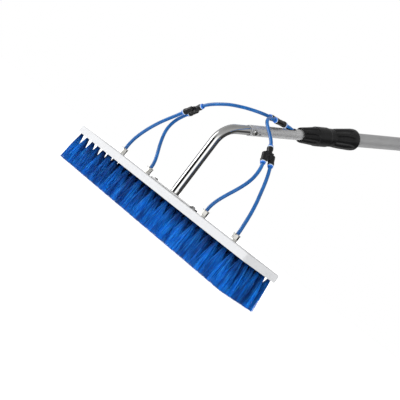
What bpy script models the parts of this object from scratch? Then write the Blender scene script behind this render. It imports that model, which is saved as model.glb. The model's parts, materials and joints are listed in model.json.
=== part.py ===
"""Water-fed cleaning brush on a three-section telescopic pole. Metres, +Z up.

The bristle tips rest on z = 0. +X runs along the brush, +Y points to the operator's end
of the pole. Pole pieces are modelled along their own local Z, which an empty lays on the
pole's axis, so their z values are distances along the pole from the gooseneck's corner.
"""

import math

import bmesh
import bpy
from mathutils import Matrix, Vector

GAP = 0.0003

# Brush head
BLOCK_LENGTH = 0.650
BLOCK_WIDTH = 0.124
BLOCK_THICK = 0.018
BLOCK_CORNER = 0.003
BRISTLE_LENGTH = 0.0735
TUFT_PITCH_X = 0.0262
TUFT_PITCH_Y = 0.0208
TUFTS_PER_ROW = 25
TUFT_ROWS = 6
TUFT_ROOT = 0.004
TUFT_MERGE = 0.030
BLOCK_TOP = BRISTLE_LENGTH + BLOCK_THICK
PLATE_LENGTH = 0.171
PLATE_WIDTH = 0.025
PLATE_THICK = 0.003
PLATE_TOP = BLOCK_TOP + GAP + PLATE_THICK
SCREW_X = 0.073
SCREW_SHANK = 0.0025
SCREW_HEAD = 0.0057

# Gooseneck and pole
POLE_RISE = math.radians(26.4)
POLE_START = Vector((0.0, 0.0, 0.274))
NECK_RADIUS = 0.0107
NECK_WALL = 0.0015
NECK_BEND_RADIUS = 0.057
NECK_END = 0.160
TUBE_WALL = 0.0012
INNER_RADIUS = 0.0125
MIDDLE_RADIUS = 0.01475
OUTER_RADIUS = 0.0170
INNER_SPAN = (0.0726, 1.085)
MIDDLE_SPAN = (0.297, 1.110)
OUTER_SPAN = (0.386, 1.150)
BOLT_AT = 0.0826
BOLT_SHANK = 0.003
RIVET_AT = 0.100
RIVET_SHANK = 0.002
RIVET_TURN = math.radians(22)
SLOT_SPAN = (0.1872, 0.2175)
SLOT_WIDTH = 0.011

# Water system
HOSE_RADIUS = 0.004
HOSE_GRIP = 0.015
HOSE_LEAD = 0.006
NOZZLE_X = (-0.220, -0.110, 0.110, 0.220)
NOZZLE_NAMES = ("left_outer", "left_inner", "right_inner", "right_outer")
HEX_FLAT = 0.014
NUT_TOP = 0.1075
Y_LENGTH = 0.048
Y_SPACING = 0.0195
Y_BARREL = 0.00725
COLLAR_TRAVEL = 0.0012
COLLAR_LIP = 0.0022

SIDES = 24
COLLAR_SIDES = 32
BARREL_SIDES = 16
SMALL_SIDES = 12

WHITE = (0.86, 0.87, 0.87)
BLUE = (0.02, 0.16, 0.62)
HOSE_BLUE = (0.03, 0.25, 0.72)
STEEL = (0.62, 0.62, 0.61)
ALUMINIUM = (0.56, 0.56, 0.57)
BLACK = (0.02, 0.02, 0.022)
RUBBER = (0.03, 0.03, 0.03)


def clear_scene():
    for old in list(bpy.data.objects):
        bpy.data.objects.remove(old, do_unlink=True)


def material(name, colour, metallic, roughness):
    made = bpy.data.materials.new(name)
    made.use_nodes = True
    shader = made.node_tree.nodes["Principled BSDF"]
    shader.inputs["Base Color"].default_value = (*colour, 1.0)
    shader.inputs["Metallic"].default_value = metallic
    shader.inputs["Roughness"].default_value = roughness
    made.diffuse_color = (*colour, 1.0)
    return made


def add_object(name, mesh, look, parent=None):
    """Put a mesh in the scene as one named sub-part with a material of its own."""
    made = bpy.data.objects.new(name, mesh)
    bpy.context.scene.collection.objects.link(made)
    if not mesh.materials:
        mesh.materials.append(material(name, *look))
    made.parent = parent
    return made


def mesh_from(bm, name, smooth=True):
    bmesh.ops.recalc_face_normals(bm, faces=bm.faces)
    mesh = bpy.data.meshes.new(name)
    bm.to_mesh(mesh)
    bm.free()
    if smooth:
        mesh.shade_smooth()
        mesh.set_sharp_from_angle(angle=math.radians(35))
    return mesh


def turned_mesh(name, outline, sides, ring=True):
    """Spin an outline of (radius, z) points about Z. A ring's outline closes on itself."""
    bm = bmesh.new()
    points = [bm.verts.new((radius, 0.0, z)) for radius, z in outline]
    pairs = list(zip(points, points[1:]))
    if ring:
        pairs.append((points[-1], points[0]))
    edges = [bm.edges.new(pair) for pair in pairs]
    bmesh.ops.spin(bm, geom=points + edges, axis=(0, 0, 1), cent=(0, 0, 0),
                   angle=math.tau, steps=sides, use_merge=True)
    bmesh.ops.remove_doubles(bm, verts=bm.verts, dist=1e-6)
    return mesh_from(bm, name)


def add_turned(name, outline, look, parent=None, sides=SIDES, ring=True):
    return add_object(name, turned_mesh(name, outline, sides, ring), look, parent)


def make_hexagonal(mesh, low, high, flat, least_radius):
    """Move the outer points between two heights onto a hexagon. The mesh has 12 sides."""
    for vertex in mesh.vertices:
        radius = math.hypot(vertex.co.x, vertex.co.y)
        if low <= vertex.co.z <= high and radius > least_radius:
            angle = math.atan2(vertex.co.y, vertex.co.x)
            step = round(angle / math.radians(30))
            reach = flat / 2 if step % 2 else flat / 2 / math.cos(math.radians(30))
            vertex.co.x *= reach / radius
            vertex.co.y *= reach / radius


def box_mesh(name, low, high):
    bm = bmesh.new()
    bmesh.ops.create_cube(bm, size=1.0)
    low, high = Vector(low), Vector(high)
    size = high - low
    middle = (high + low) / 2
    for vertex in bm.verts:
        vertex.co = Vector(a * b for a, b in zip(vertex.co, size)) + middle
    return mesh_from(bm, name, smooth=False)


def rod_mesh(name, radius, start, end, sides=SMALL_SIDES):
    """A solid cylinder between two points."""
    start, end = Vector(start), Vector(end)
    turn = (end - start).to_track_quat("Z", "Y").to_matrix().to_4x4()
    bm = bmesh.new()
    bmesh.ops.create_cone(bm, cap_ends=True, segments=sides, radius1=radius, radius2=radius,
                          depth=(end - start).length,
                          matrix=Matrix.Translation((start + end) / 2) @ turn)
    return mesh_from(bm, name, smooth=False)


def stadium_prism(name, half_length, half_width, low, high, arc_steps=8):
    """An upright prism whose outline is a bar along X with round ends."""
    centre = half_length - half_width
    outline = []
    for side in (0, 1):
        for step in range(arc_steps + 1):
            angle = -math.pi / 2 + math.pi * side + math.pi * step / arc_steps
            shift = centre if side == 0 else -centre
            outline.append((shift + half_width * math.cos(angle), half_width * math.sin(angle)))
    return prism(name, outline, low, high)


def prism(name, outline, low, high):
    bm = bmesh.new()
    face = bm.faces.new([bm.verts.new((x, y, low)) for x, y in outline])
    raised = bmesh.ops.extrude_face_region(bm, geom=[face])["geom"]
    lifted = [item for item in raised if isinstance(item, bmesh.types.BMVert)]
    bmesh.ops.translate(bm, verts=lifted, vec=(0, 0, high - low))
    return mesh_from(bm, name, smooth=False)


def cut(piece, tools, operation="DIFFERENCE"):
    """Apply Boolean steps with the given meshes, in the piece's own coordinates."""
    for index, tool in enumerate(tools):
        cutter = bpy.data.objects.new(f"{piece.name}_cutter_{index}", tool)
        bpy.context.scene.collection.objects.link(cutter)
        cutter.hide_render = True
        cutter.display_type = "WIRE"
        cutter.parent = piece
        step = piece.modifiers.new(f"{operation}_{index}", "BOOLEAN")
        step.operation = operation
        step.object = cutter


def baked(piece, name):
    """Give a piece's mesh with its modifiers applied, and take the piece and its cutters away."""
    bpy.context.view_layer.update()
    graph = bpy.context.evaluated_depsgraph_get()
    mesh = bpy.data.meshes.new_from_object(piece.evaluated_get(graph))
    mesh.name = name
    for child in list(piece.children):
        bpy.data.objects.remove(child, do_unlink=True)
    bpy.data.objects.remove(piece, do_unlink=True)
    return mesh


def build_block():
    half_x, half_y = BLOCK_LENGTH / 2, BLOCK_WIDTH / 2
    corner = BLOCK_CORNER
    outline = [(half_x, -half_y + corner), (half_x, half_y - corner), (half_x - corner, half_y),
               (-half_x + corner, half_y), (-half_x, half_y - corner),
               (-half_x, -half_y + corner), (-half_x + corner, -half_y),
               (half_x - corner, -half_y)]
    mesh = prism("brush_block", outline, BRISTLE_LENGTH, BLOCK_TOP)
    block = add_object("brush_block", mesh, (WHITE, 0.0, 0.4))
    beyond = 0.004
    tools = [rod_mesh("nozzle_hole", 0.0053, (x, 0, BRISTLE_LENGTH - beyond),
                      (x, 0, BLOCK_TOP + beyond)) for x in NOZZLE_X]
    tools += [rod_mesh("pilot_hole", SCREW_SHANK + GAP, (x, 0, BLOCK_TOP - 0.014),
                       (x, 0, BLOCK_TOP + beyond)) for x in (-SCREW_X, SCREW_X)]
    cut(block, tools)


def build_bristles():
    """Each row is a comb: tufts that are separate at the root and meet lower down."""
    half_pitch = TUFT_PITCH_X / 2
    tip_half = 0.0101
    root_half = TUFT_ROOT
    root_z = BRISTLE_LENGTH - GAP
    flare = 0.005
    span = (TUFTS_PER_ROW - 1) / 2 * TUFT_PITCH_X
    outline = [(-span - half_pitch * 0.5 - flare, 0.0)]
    for column in range(TUFTS_PER_ROW):
        centre = -span + column * TUFT_PITCH_X
        outline.append((centre - root_half, root_z))
        outline.append((centre + root_half, root_z))
        if column < TUFTS_PER_ROW - 1:
            outline.append((centre + half_pitch, BRISTLE_LENGTH - TUFT_MERGE))
    outline.append((span + half_pitch * 0.5 + flare, 0.0))
    for row in range(TUFT_ROWS):
        offset = (row - (TUFT_ROWS - 1) / 2) * TUFT_PITCH_Y
        bm = bmesh.new()
        sheet = bm.faces.new([bm.verts.new((x, -1.0, z)) for x, z in outline])
        pulled = bmesh.ops.extrude_face_region(bm, geom=[sheet])["geom"]
        for item in pulled:
            if isinstance(item, bmesh.types.BMVert):
                item.co.y = 1.0
        for vertex in bm.verts:
            drop = 1.0 - vertex.co.z / root_z
            reach = root_half + (tip_half - root_half) * drop
            vertex.co.y = offset + vertex.co.y * reach
        name = f"bristle_row_{row + 1}"
        add_object(name, mesh_from(bm, name, smooth=False), (BLUE, 0.0, 0.55))


def build_plate():
    mesh = stadium_prism("mounting_plate", PLATE_LENGTH / 2, PLATE_WIDTH / 2,
                         BLOCK_TOP + GAP, PLATE_TOP)
    plate = add_object("mounting_plate", mesh, (STEEL, 1.0, 0.3))
    cut(plate, [rod_mesh("screw_hole", SCREW_SHANK + GAP, (x, 0, BLOCK_TOP - 0.002),
                         (x, 0, PLATE_TOP + 0.002)) for x in (-SCREW_X, SCREW_X)])
    seat = PLATE_TOP + GAP
    outline = [(0.0, BLOCK_TOP - 0.0125), (SCREW_SHANK * 0.4, BLOCK_TOP - 0.0125),
               (SCREW_SHANK, BLOCK_TOP - 0.010), (SCREW_SHANK, seat), (SCREW_HEAD, seat),
               (SCREW_HEAD, seat + 0.0012), (SCREW_HEAD * 0.62, seat + 0.0028),
               (0.0, seat + 0.0031)]
    for name, x in (("plate_screw_left", -SCREW_X), ("plate_screw_right", SCREW_X)):
        screw = add_turned(name, outline, (STEEL, 1.0, 0.25), sides=SMALL_SIDES, ring=False)
        screw.location.x = x


def add_pole_axis():
    axis = bpy.data.objects.new("pole_axis", None)
    bpy.context.scene.collection.objects.link(axis)
    axis.location = POLE_START
    axis.rotation_euler.x = POLE_RISE - math.pi / 2
    return axis


def neck_stations():
    """Centres and tangents down the gooseneck: upright, round the bend, then along the pole."""
    along = Vector((0, math.cos(POLE_RISE), math.sin(POLE_RISE)))
    bend = math.pi / 2 - POLE_RISE
    reach = NECK_BEND_RADIUS * math.tan(bend / 2)
    start = POLE_START - Vector((0, 0, reach))
    centre = start + Vector((0, NECK_BEND_RADIUS, 0))
    stations = [(Vector((0, 0, PLATE_TOP + GAP)), Vector((0, 0, 1)))]
    steps = 8
    for step in range(steps + 1):
        angle = bend * step / steps
        place = centre + NECK_BEND_RADIUS * Vector((0, -math.cos(angle), math.sin(angle)))
        stations.append((place, Vector((0, math.sin(angle), math.cos(angle)))))
    stations.append((POLE_START + along * NECK_END, along))
    return stations


def build_gooseneck():
    bm = bmesh.new()
    across = Vector((1, 0, 0))
    rings = []
    for place, tangent in neck_stations():
        side = tangent.cross(across)
        pair = []
        for radius in (NECK_RADIUS, NECK_RADIUS - NECK_WALL):
            turn = [math.tau * step / SIDES for step in range(SIDES)]
            pair.append([bm.verts.new(place + radius * (math.cos(a) * across + math.sin(a) * side))
                         for a in turn])
        rings.append(pair)
    bands = [(rings[i][k], rings[i + 1][k]) for i in range(len(rings) - 1) for k in (0, 1)]
    bands += [(rings[0][0], rings[0][1]), (rings[-1][0], rings[-1][1])]
    for low, high in bands:
        for i in range(SIDES):
            j = (i + 1) % SIDES
            bm.faces.new((low[i], low[j], high[j], high[i]))
    neck = add_object("gooseneck_tube", mesh_from(bm, "gooseneck_tube"), (STEEL, 1.0, 0.2))
    along = Vector((0, math.cos(POLE_RISE), math.sin(POLE_RISE)))
    down = Vector((0, math.sin(POLE_RISE), -math.cos(POLE_RISE)))
    bolt = POLE_START + along * BOLT_AT
    rivet = POLE_START + along * RIVET_AT
    lean = Vector((math.cos(RIVET_TURN), 0, 0)) + down * math.sin(RIVET_TURN)
    cut(neck, [rod_mesh("bolt_hole", BOLT_SHANK + GAP, bolt - across * 0.02, bolt + across * 0.02),
               rod_mesh("rivet_hole", RIVET_SHANK + GAP, rivet, rivet + lean * 0.02)])


def tube_outline(radius, wall, span):
    low, high = span
    return [(radius, low), (radius, high), (radius - wall, high), (radius - wall, low)]


def slot_prism(name, margin, low, high):
    """A slot-shaped prism above the pole's top side, shrunk by a margin all round."""
    start, end = SLOT_SPAN
    mesh = stadium_prism(name, (end - start) / 2 - margin, SLOT_WIDTH / 2 - margin, low, high)
    lay = Matrix(((0, 1, 0), (0, 0, -1), (-1, 0, 0))).to_4x4()
    mesh.transform(Matrix.Translation((0, 0, (start + end) / 2)) @ lay)
    return mesh


def build_inner_tube(axis):
    tube = add_turned("inner_tube", tube_outline(INNER_RADIUS, TUBE_WALL, INNER_SPAN),
                      (ALUMINIUM, 1.0, 0.4), axis)
    lean = Vector((math.cos(RIVET_TURN), math.sin(RIVET_TURN), 0))
    rivet = Vector((0, 0, RIVET_AT))
    cut(tube, [rod_mesh("bolt_hole", BOLT_SHANK + GAP, (-0.02, 0, BOLT_AT), (0.02, 0, BOLT_AT)),
               rod_mesh("rivet_hole", RIVET_SHANK + GAP, rivet, rivet + lean * 0.02),
               slot_prism("hose_slot", 0.0, 0.004, 0.016)])


def build_grommet(axis):
    """A rubber edging in the hose slot: a patch of tube wall with a slot through it."""
    start, end = SLOT_SPAN
    outline = [(INNER_RADIUS + 0.0007, start - 0.01), (INNER_RADIUS + 0.0007, end + 0.01),
               (INNER_RADIUS - TUBE_WALL - 0.0004, end + 0.01),
               (INNER_RADIUS - TUBE_WALL - 0.0004, start - 0.01)]
    grommet = add_turned("hose_grommet", outline, (RUBBER, 0.0, 0.6), axis)
    cut(grommet, [slot_prism("grommet_outside", GAP, 0.004, 0.016)], "INTERSECT")
    cut(grommet, [slot_prism("grommet_inside", 0.0011, 0.002, 0.018)])


def lay_across(piece, place, turn=0.0):
    """Turn a piece made along Z so that it points along the pole's cross direction."""
    piece.rotation_euler = (0, math.pi / 2, turn)
    piece.location = (0, 0, place)


def build_head_fasteners(axis):
    side = INNER_RADIUS + GAP
    bolt_outline = [(0.0, -side - 0.0085), (BOLT_SHANK, -side - 0.0085), (BOLT_SHANK, side),
                    (0.0070, side), (0.0070, side + 0.0013), (0.0054, side + 0.0014),
                    (0.0054, side + 0.0052), (0.0046, side + 0.0058), (0.0, side + 0.0058)]
    bolt_mesh = turned_mesh("head_bolt", bolt_outline, SMALL_SIDES, ring=False)
    make_hexagonal(bolt_mesh, side + 0.00135, side + 0.0053, 0.010, 0.005)
    lay_across(add_object("head_bolt", bolt_mesh, (STEEL, 1.0, 0.25), axis), BOLT_AT)
    nut_outline = [(0.0052, -side - 0.0062), (0.0056, -side - 0.0058), (0.0056, -side),
                   (BOLT_SHANK + GAP, -side), (BOLT_SHANK + GAP, -side - 0.0062)]
    nut_mesh = turned_mesh("head_bolt_nut", nut_outline, SMALL_SIDES)
    make_hexagonal(nut_mesh, -side - 0.006, -side + 0.0001, 0.010, 0.005)
    lay_across(add_object("head_bolt_nut", nut_mesh, (STEEL, 1.0, 0.25), axis), BOLT_AT)
    rivet_outline = [(0.0, NECK_RADIUS - 0.004), (RIVET_SHANK, NECK_RADIUS - 0.004),
                     (RIVET_SHANK, side), (0.0032, side), (0.0029, side + 0.0009),
                     (0.0014, side + 0.0014), (0.0, side + 0.0014)]
    rivet = add_turned("head_rivet", rivet_outline, (STEEL, 1.0, 0.35), axis,
                       SMALL_SIDES, ring=False)
    lay_across(rivet, RIVET_AT, RIVET_TURN)


def flute(mesh, start, end, depth, count, inner_limit, slope):
    """Press lengthwise grooves into the outer wall, fading out towards the end.

    The outer wall is what lies outside a cone: inner_limit at the start, widening by slope.
    """
    for vertex in mesh.vertices:
        radius = math.hypot(vertex.co.x, vertex.co.y)
        limit = inner_limit + slope * (vertex.co.z - start)
        if radius < limit or not start - 1e-6 <= vertex.co.z <= end:
            continue
        angle = math.atan2(vertex.co.y, vertex.co.x)
        fade = min(1.0, 2.2 * (end - vertex.co.z) / (end - start))
        press = depth * fade * (0.5 - 0.5 * math.cos(count * angle))
        vertex.co.x *= (radius - press) / radius
        vertex.co.y *= (radius - press) / radius


def build_front_lock(axis):
    sleeve = [(0.0181, 0.300), (0.0181, 0.337), (MIDDLE_RADIUS + GAP, 0.337),
              (MIDDLE_RADIUS + GAP, 0.300)]
    add_turned("front_lock_sleeve", sleeve, (BLACK, 0.0, 0.5), axis)
    outline = [(0.0160, 0.231), (0.0174, 0.2335), (0.0180, 0.246), (0.0206, 0.268),
               (0.0218, 0.280), (0.0233, 0.284), (0.0235, 0.296), (0.0235, 0.322),
               (0.0226, 0.332), (0.0218, 0.3416), (0.0186, 0.3416), (0.0186, 0.262),
               (0.0134, 0.254), (0.0134, 0.234), (0.0142, 0.231)]
    mesh = turned_mesh("front_lock_collar", outline, COLLAR_SIDES)
    flute(mesh, 0.2335, 0.284, 0.0017, 8, 0.0172, 0.06)
    add_object("front_lock_collar", mesh, (BLACK, 0.0, 0.35), axis)


def build_rear_lock(axis):
    sleeve = [(0.0212, 0.384), (0.0212, 0.419), (OUTER_RADIUS + GAP, 0.419),
              (OUTER_RADIUS + GAP, 0.384)]
    add_turned("rear_lock_sleeve", sleeve, (BLACK, 0.0, 0.5), axis)
    outline = [(0.0206, 0.343), (0.0218, 0.345), (0.0230, 0.352), (0.0247, 0.368),
               (0.0257, 0.384), (0.0263, 0.400), (0.0266, 0.411), (0.0262, 0.4175),
               (0.0250, 0.421), (0.0217, 0.421), (0.0217, 0.380), (0.0208, 0.356),
               (0.0156, 0.352), (0.0156, 0.343)]
    mesh = turned_mesh("rear_lock_collar", outline, COLLAR_SIDES)
    flute(mesh, 0.345, 0.400, 0.0018, 8, 0.0213, 0.05)
    add_object("rear_lock_collar", mesh, (BLACK, 0.0, 0.35), axis)


def build_collet(name, radius_in, radius_out, low, high, axis):
    """A plastic clamping ring with a slit down one side and a tapered nose."""
    outline = [(radius_in, low), (radius_out - 0.0015, low), (radius_out, low + 0.006),
               (radius_out, high), (radius_in, high)]
    collet = add_turned(name, outline, (WHITE, 0.0, 0.5), axis)
    cut(collet, [box_mesh("slit", (-0.0015, 0.0, low - 0.002), (0.0015, 0.04, high + 0.002))])


def build_pole_sections(axis):
    metal = (ALUMINIUM, 1.0, 0.4)
    add_turned("middle_tube", tube_outline(MIDDLE_RADIUS, TUBE_WALL, MIDDLE_SPAN), metal, axis)
    add_turned("outer_tube", tube_outline(OUTER_RADIUS, TUBE_WALL, OUTER_SPAN), metal, axis)
    build_guide("inner_tube_guide", INNER_RADIUS - TUBE_WALL, MIDDLE_RADIUS - TUBE_WALL,
                INNER_SPAN[1], axis)
    build_guide("middle_tube_guide", MIDDLE_RADIUS - TUBE_WALL, OUTER_RADIUS - TUBE_WALL,
                MIDDLE_SPAN[1], axis)
    bore = OUTER_RADIUS - TUBE_WALL
    end = OUTER_SPAN[1] + GAP
    cap = [(bore - GAP, end - 0.018), (bore - GAP, end), (0.0184, end), (0.0184, end + 0.004),
           (0.0168, end + 0.007), (0.0065, end + 0.007), (0.0065, end - 0.018)]
    add_turned("tail_cap", cap, (BLACK, 0.0, 0.5), axis)
    low, high = 1.000, 1.142
    grip = [(OUTER_RADIUS + GAP, low), (0.0188, low), (0.0205, low + 0.004),
            (0.0205, high - 0.004), (0.0188, high), (OUTER_RADIUS + GAP, high)]
    add_turned("hand_grip", grip, (RUBBER, 0.0, 0.8), axis)


def build_guide(name, bore, slides_in, tube_end, axis):
    """A plastic plug in a tube's lower end, whose rim runs in the next tube."""
    start = tube_end + GAP
    plug = bore - GAP
    rim = slides_in - GAP
    outline = [(plug, start - 0.012), (plug, start), (rim, start), (rim, start + 0.007),
               (0.0062, start + 0.007), (0.0062, start - 0.012)]
    add_turned(name, outline, (WHITE, 0.0, 0.5), axis)


def build_nozzles():
    thread, base = 0.0050, BLOCK_TOP + GAP
    body = [(0.0008, 0.0705), (0.0030, 0.0705), (0.0040, 0.0730), (thread, 0.0742),
            (thread, base), (0.0078, base), (0.0078, base + 0.0035), (0.0046, base + 0.0035),
            (0.0046, base + 0.0085), (0.0022, base + 0.0085), (0.0022, 0.0745)]
    body_mesh = turned_mesh("nozzle_body", body, SMALL_SIDES)
    make_hexagonal(body_mesh, base - 1e-5, base + 0.0036, HEX_FLAT, 0.007)
    low = base + 0.0035 + GAP
    disc = NUT_TOP - 0.0012
    nut = [(0.0078, low), (0.0078, disc - 0.0008), (0.0070, disc), (0.0084, disc),
           (0.0084, NUT_TOP), (0.0044, NUT_TOP), (0.0044, disc - 0.0040),
           (0.0050, disc - 0.0050), (0.0050, low)]
    nut_mesh = turned_mesh("nozzle_nut", nut, SMALL_SIDES)
    make_hexagonal(nut_mesh, low - 1e-5, disc - 0.0007, HEX_FLAT, 0.007)
    body_mesh.materials.append(material("nozzle_body", STEEL, 1.0, 0.3))
    nut_mesh.materials.append(material("nozzle_nut", STEEL, 1.0, 0.25))
    for place, x in zip(NOZZLE_NAMES, NOZZLE_X):
        for part, mesh in (("body", body_mesh), ("nut", nut_mesh)):
            made = add_object(f"nozzle_{part}_{place}", mesh, None)
            made.location.x = x


def y_body_mesh():
    """One inlet barrel and two side-by-side outlet barrels, drilled through and joined."""
    face = COLLAR_LIP + COLLAR_TRAVEL + GAP
    far = Y_LENGTH - face
    half = Y_SPACING / 2
    barrel = Y_BARREL
    inlet = [(0.0, face), (barrel - 0.0004, face), (barrel, face + 0.0006), (barrel, 0.023),
             (0.0, 0.023)]
    body = add_turned("y_blank", inlet, (BLACK, 0.0, 0.4), sides=BARREL_SIDES, ring=False)
    outlet = [(0.0, 0.0195), (barrel - 0.0015, 0.0195), (barrel, 0.0215), (barrel, far - 0.0006),
              (barrel - 0.0004, far), (0.0, far)]
    for x in (-half, half):
        mesh = turned_mesh("outlet_barrel", outlet, BARREL_SIDES, ring=False)
        mesh.transform(Matrix.Translation((x, 0, 0)))
        cut(body, [mesh], "UNION")
    web = box_mesh("web", (-half, -0.0046, 0.0165), (half, 0.0046, 0.0365))
    cut(body, [web], "UNION")
    collar_bore, hose_bore, water = 0.0056, HOSE_RADIUS + 0.0004, 0.0025
    drills = []
    for x, mouth, way in ((0.0, face, 1), (-half, far, -1), (half, far, -1)):
        beyond = mouth - way * 0.004
        drills.append(rod_mesh("collar_bore", collar_bore, (x, 0, beyond), (x, 0, mouth + way * 0.006)))
        drills.append(rod_mesh("hose_bore", hose_bore, (x, 0, beyond), (x, 0, mouth + way * 0.0125)))
        drills.append(rod_mesh("water_way", water, (x, 0, beyond), (x, 0, 0.0245), 8))
    drills.append(rod_mesh("cross_way", water * 0.9, (-half, 0, 0.0240), (half, 0, 0.0240), 8))
    drills.append(rod_mesh("eyelet", 0.0015, (0, -0.01, 0.0330), (0, 0.01, 0.0330), 8))
    cut(body, drills)
    return baked(body, "y_body")


def build_y_connectors():
    """Three push-in connectors. Each stands on its own empty: Z along it, X across its outlets."""
    body_mesh = y_body_mesh()
    body_mesh.shade_smooth()
    body_mesh.set_sharp_from_angle(angle=math.radians(35))
    body_mesh.materials.clear()
    body_mesh.materials.append(material("y_body", BLACK, 0.0, 0.4))
    sleeve_end = COLLAR_LIP + COLLAR_TRAVEL + GAP + 0.0042
    collar = [(0.0064, 0.0004), (0.0064, COLLAR_LIP), (0.0052, COLLAR_LIP), (0.0052, sleeve_end),
              (0.0044, sleeve_end), (0.0044, 0.0), (0.0060, 0.0)]
    collar_mesh = turned_mesh("release_collar", collar, SMALL_SIDES)
    collar_mesh.materials.append(material("release_collar", HOSE_BLUE, 0.0, 0.35))
    for name, (place, along, across) in Y_PLACES.items():
        stand = bpy.data.objects.new(f"{name}_y_axis", None)
        bpy.context.scene.collection.objects.link(stand)
        z = Vector(along).normalized()
        x = (Vector(across) - Vector(across).dot(z) * z).normalized()
        turn = Matrix((x, z.cross(x), z)).transposed().to_4x4()
        stand.matrix_world = Matrix.Translation(place) @ turn
        add_object(f"{name}_y_body", body_mesh, None, stand)
        half = Y_SPACING / 2
        ports = (("inlet", 0.0, 0.0), ("outlet_a", -half, Y_LENGTH), ("outlet_b", half, Y_LENGTH))
        for port, shift, height in ports:
            ring = add_object(f"{name}_y_{port}_collar", collar_mesh, None, stand)
            ring.location = (shift, 0, height)
            if height:
                ring.rotation_euler.x = math.pi


# Where each Y connector's inlet face is, which way its outlets point, and how they spread.
Y_PLACES = {
    "main": (Vector((0.000, 0.152, 0.3723)), (0.0, -0.980, -0.190), (1.0, 0.0, 0.0)),
    "left": (Vector((-0.140, 0.040, 0.293)), (-0.707, 0.062, -0.702), (-0.174, 0.950, 0.256)),
    "right": (Vector((0.088, 0.062, 0.302)), (0.599, -0.152, -0.785), (0.433, 0.888, 0.158)),
}

# The free run of each hose between its two fittings, in millimetres, from the Y connector on.
HOSE_ROUTES = {
    "hose_main_to_left": [
        (-12, 87, 359), (-19, 76, 355), (-31, 66, 350), (-46, 57, 344), (-62, 50, 337),
        (-79, 45, 330), (-96, 42, 321), (-111, 40, 313), (-126, 39, 304)],
    "hose_main_to_right": [
        (11, 89, 359.5), (15.5, 79, 355), (23, 70.5, 349), (33, 65, 342.5), (43, 63, 336.5),
        (53, 62.5, 330.5), (62, 62.5, 324.5), (71, 63, 318.5), (79, 63.5, 312)],
    "hose_left_outer": [
        (-183, 33.5, 244), (-193, 31, 230), (-201, 27, 216), (-207.5, 22, 201), (-212, 16.5, 185),
        (-215.5, 11, 169), (-218, 6.5, 153), (-219.5, 2.5, 138), (-220, 0.5, 123)],
    "hose_left_inner": [
        (-186.5, 51.5, 248), (-190.5, 46, 234), (-188, 39, 219), (-181, 31, 205.5), (-171, 23.5, 193),
        (-159.5, 16.5, 181.5), (-148.5, 11, 170), (-137, 6, 158), (-126.5, 3, 146), (-118.5, 1.5, 135),
        (-112.5, 0.5, 124)],
    "hose_right_inner": [
        (121, 43, 248), (126.5, 38, 232), (129, 32.5, 216), (128, 26.5, 199.5), (125, 20, 183),
        (121, 13.5, 167), (117, 7.5, 151), (113, 3, 136), (110.5, 0.5, 121)],
    "hose_right_outer": [
        (132, 59.5, 252.5), (143, 54, 239), (154, 47, 226), (165, 39.5, 213), (176, 31.5, 200),
        (187, 24, 187), (197, 16.5, 173), (206, 10, 158), (213, 4.5, 142), (218, 1, 125)],
}

# The feed hose lies in the pole's middle plane: distance along the pole and height over its axis.
FEED_ROUTE = [(187, 18.5), (194, 16.2), (201, 13.3), (208, 10.0), (215, 6.5),
              (222, 3.5), (229, 1.1), (237, -0.8), (246, -2.1), (256, -2.8), (268, -3.0),
              (282, -3.0), (296, -3.0)]


def smooth_along(points, step):
    """Read the cubic B-spline that the points steer at an even step along it."""
    ends = [2 * points[0] - points[1], *points, 2 * points[-1] - points[-2]]
    fine = []
    for a, b, c, d in zip(ends, ends[1:], ends[2:], ends[3:]):
        for part in range(24):
            t = part / 24
            fine.append(((1 - t) ** 3 * a + (3 * t ** 3 - 6 * t * t + 4) * b
                         + (-3 * t ** 3 + 3 * t * t + 3 * t + 1) * c + t ** 3 * d) / 6)
    fine.append(points[-1])
    lengths = [0.0]
    for a, b in zip(fine, fine[1:]):
        lengths.append(lengths[-1] + (b - a).length)
    count = max(2, round(lengths[-1] / step))
    read, at = [], 0
    for index in range(count + 1):
        goal = lengths[-1] * index / count
        while at < len(fine) - 2 and lengths[at + 1] < goal:
            at += 1
        share = (goal - lengths[at]) / (lengths[at + 1] - lengths[at])
        read.append(fine[at].lerp(fine[at + 1], share))
    return read


def port(name, shift):
    """A Y connector port's face and the way its hose leaves. Shift is -1 or 1, or 0 for the inlet."""
    place, along, across = Y_PLACES[name]
    z = Vector(along).normalized()
    x = (Vector(across) - Vector(across).dot(z) * z).normalized()
    if shift == 0:
        return place, -z
    return place + z * Y_LENGTH + x * (shift * Y_SPACING / 2), z


def straight_end(face, way):
    """Points that hold a hose straight through a fitting, from inside it to just outside."""
    return [face - way * HOSE_GRIP, face - way * HOSE_GRIP / 2, face, face + way * HOSE_LEAD]


def hose_route(name):
    """The route's own points, led straight out of the fitting at each end."""
    if name == "hose_feed":
        along = Vector((0, math.cos(POLE_RISE), math.sin(POLE_RISE)))
        up = Vector((0, -math.sin(POLE_RISE), math.cos(POLE_RISE)))
        free = [POLE_START + along * s / 1000 + up * h / 1000 for s, h in FEED_ROUTE]
        return [*straight_end(*port("main", 0)), *free]
    free = [Vector(point) / 1000 for point in HOSE_ROUTES[name]]
    first = {"hose_main_to_left": ("main", -1), "hose_main_to_right": ("main", 1),
             "hose_left_outer": ("left", -1), "hose_left_inner": ("left", 1),
             "hose_right_inner": ("right", -1), "hose_right_outer": ("right", 1)}[name]
    start = straight_end(*port(*first))
    if name.startswith("hose_main"):
        end = straight_end(*port(name.rsplit("_", 1)[1], 0))
    else:
        nozzle = NOZZLE_X[NOZZLE_NAMES.index(name.removeprefix("hose_"))]
        seat = BLOCK_TOP + 0.0085 + 3 * GAP
        face = Vector((nozzle, 0, seat + HOSE_GRIP / 2))
        end = [Vector((nozzle, 0, seat)), face, face + Vector((0, 0, HOSE_LEAD))]
    return [*start, *free, *reversed(end)]


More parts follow.
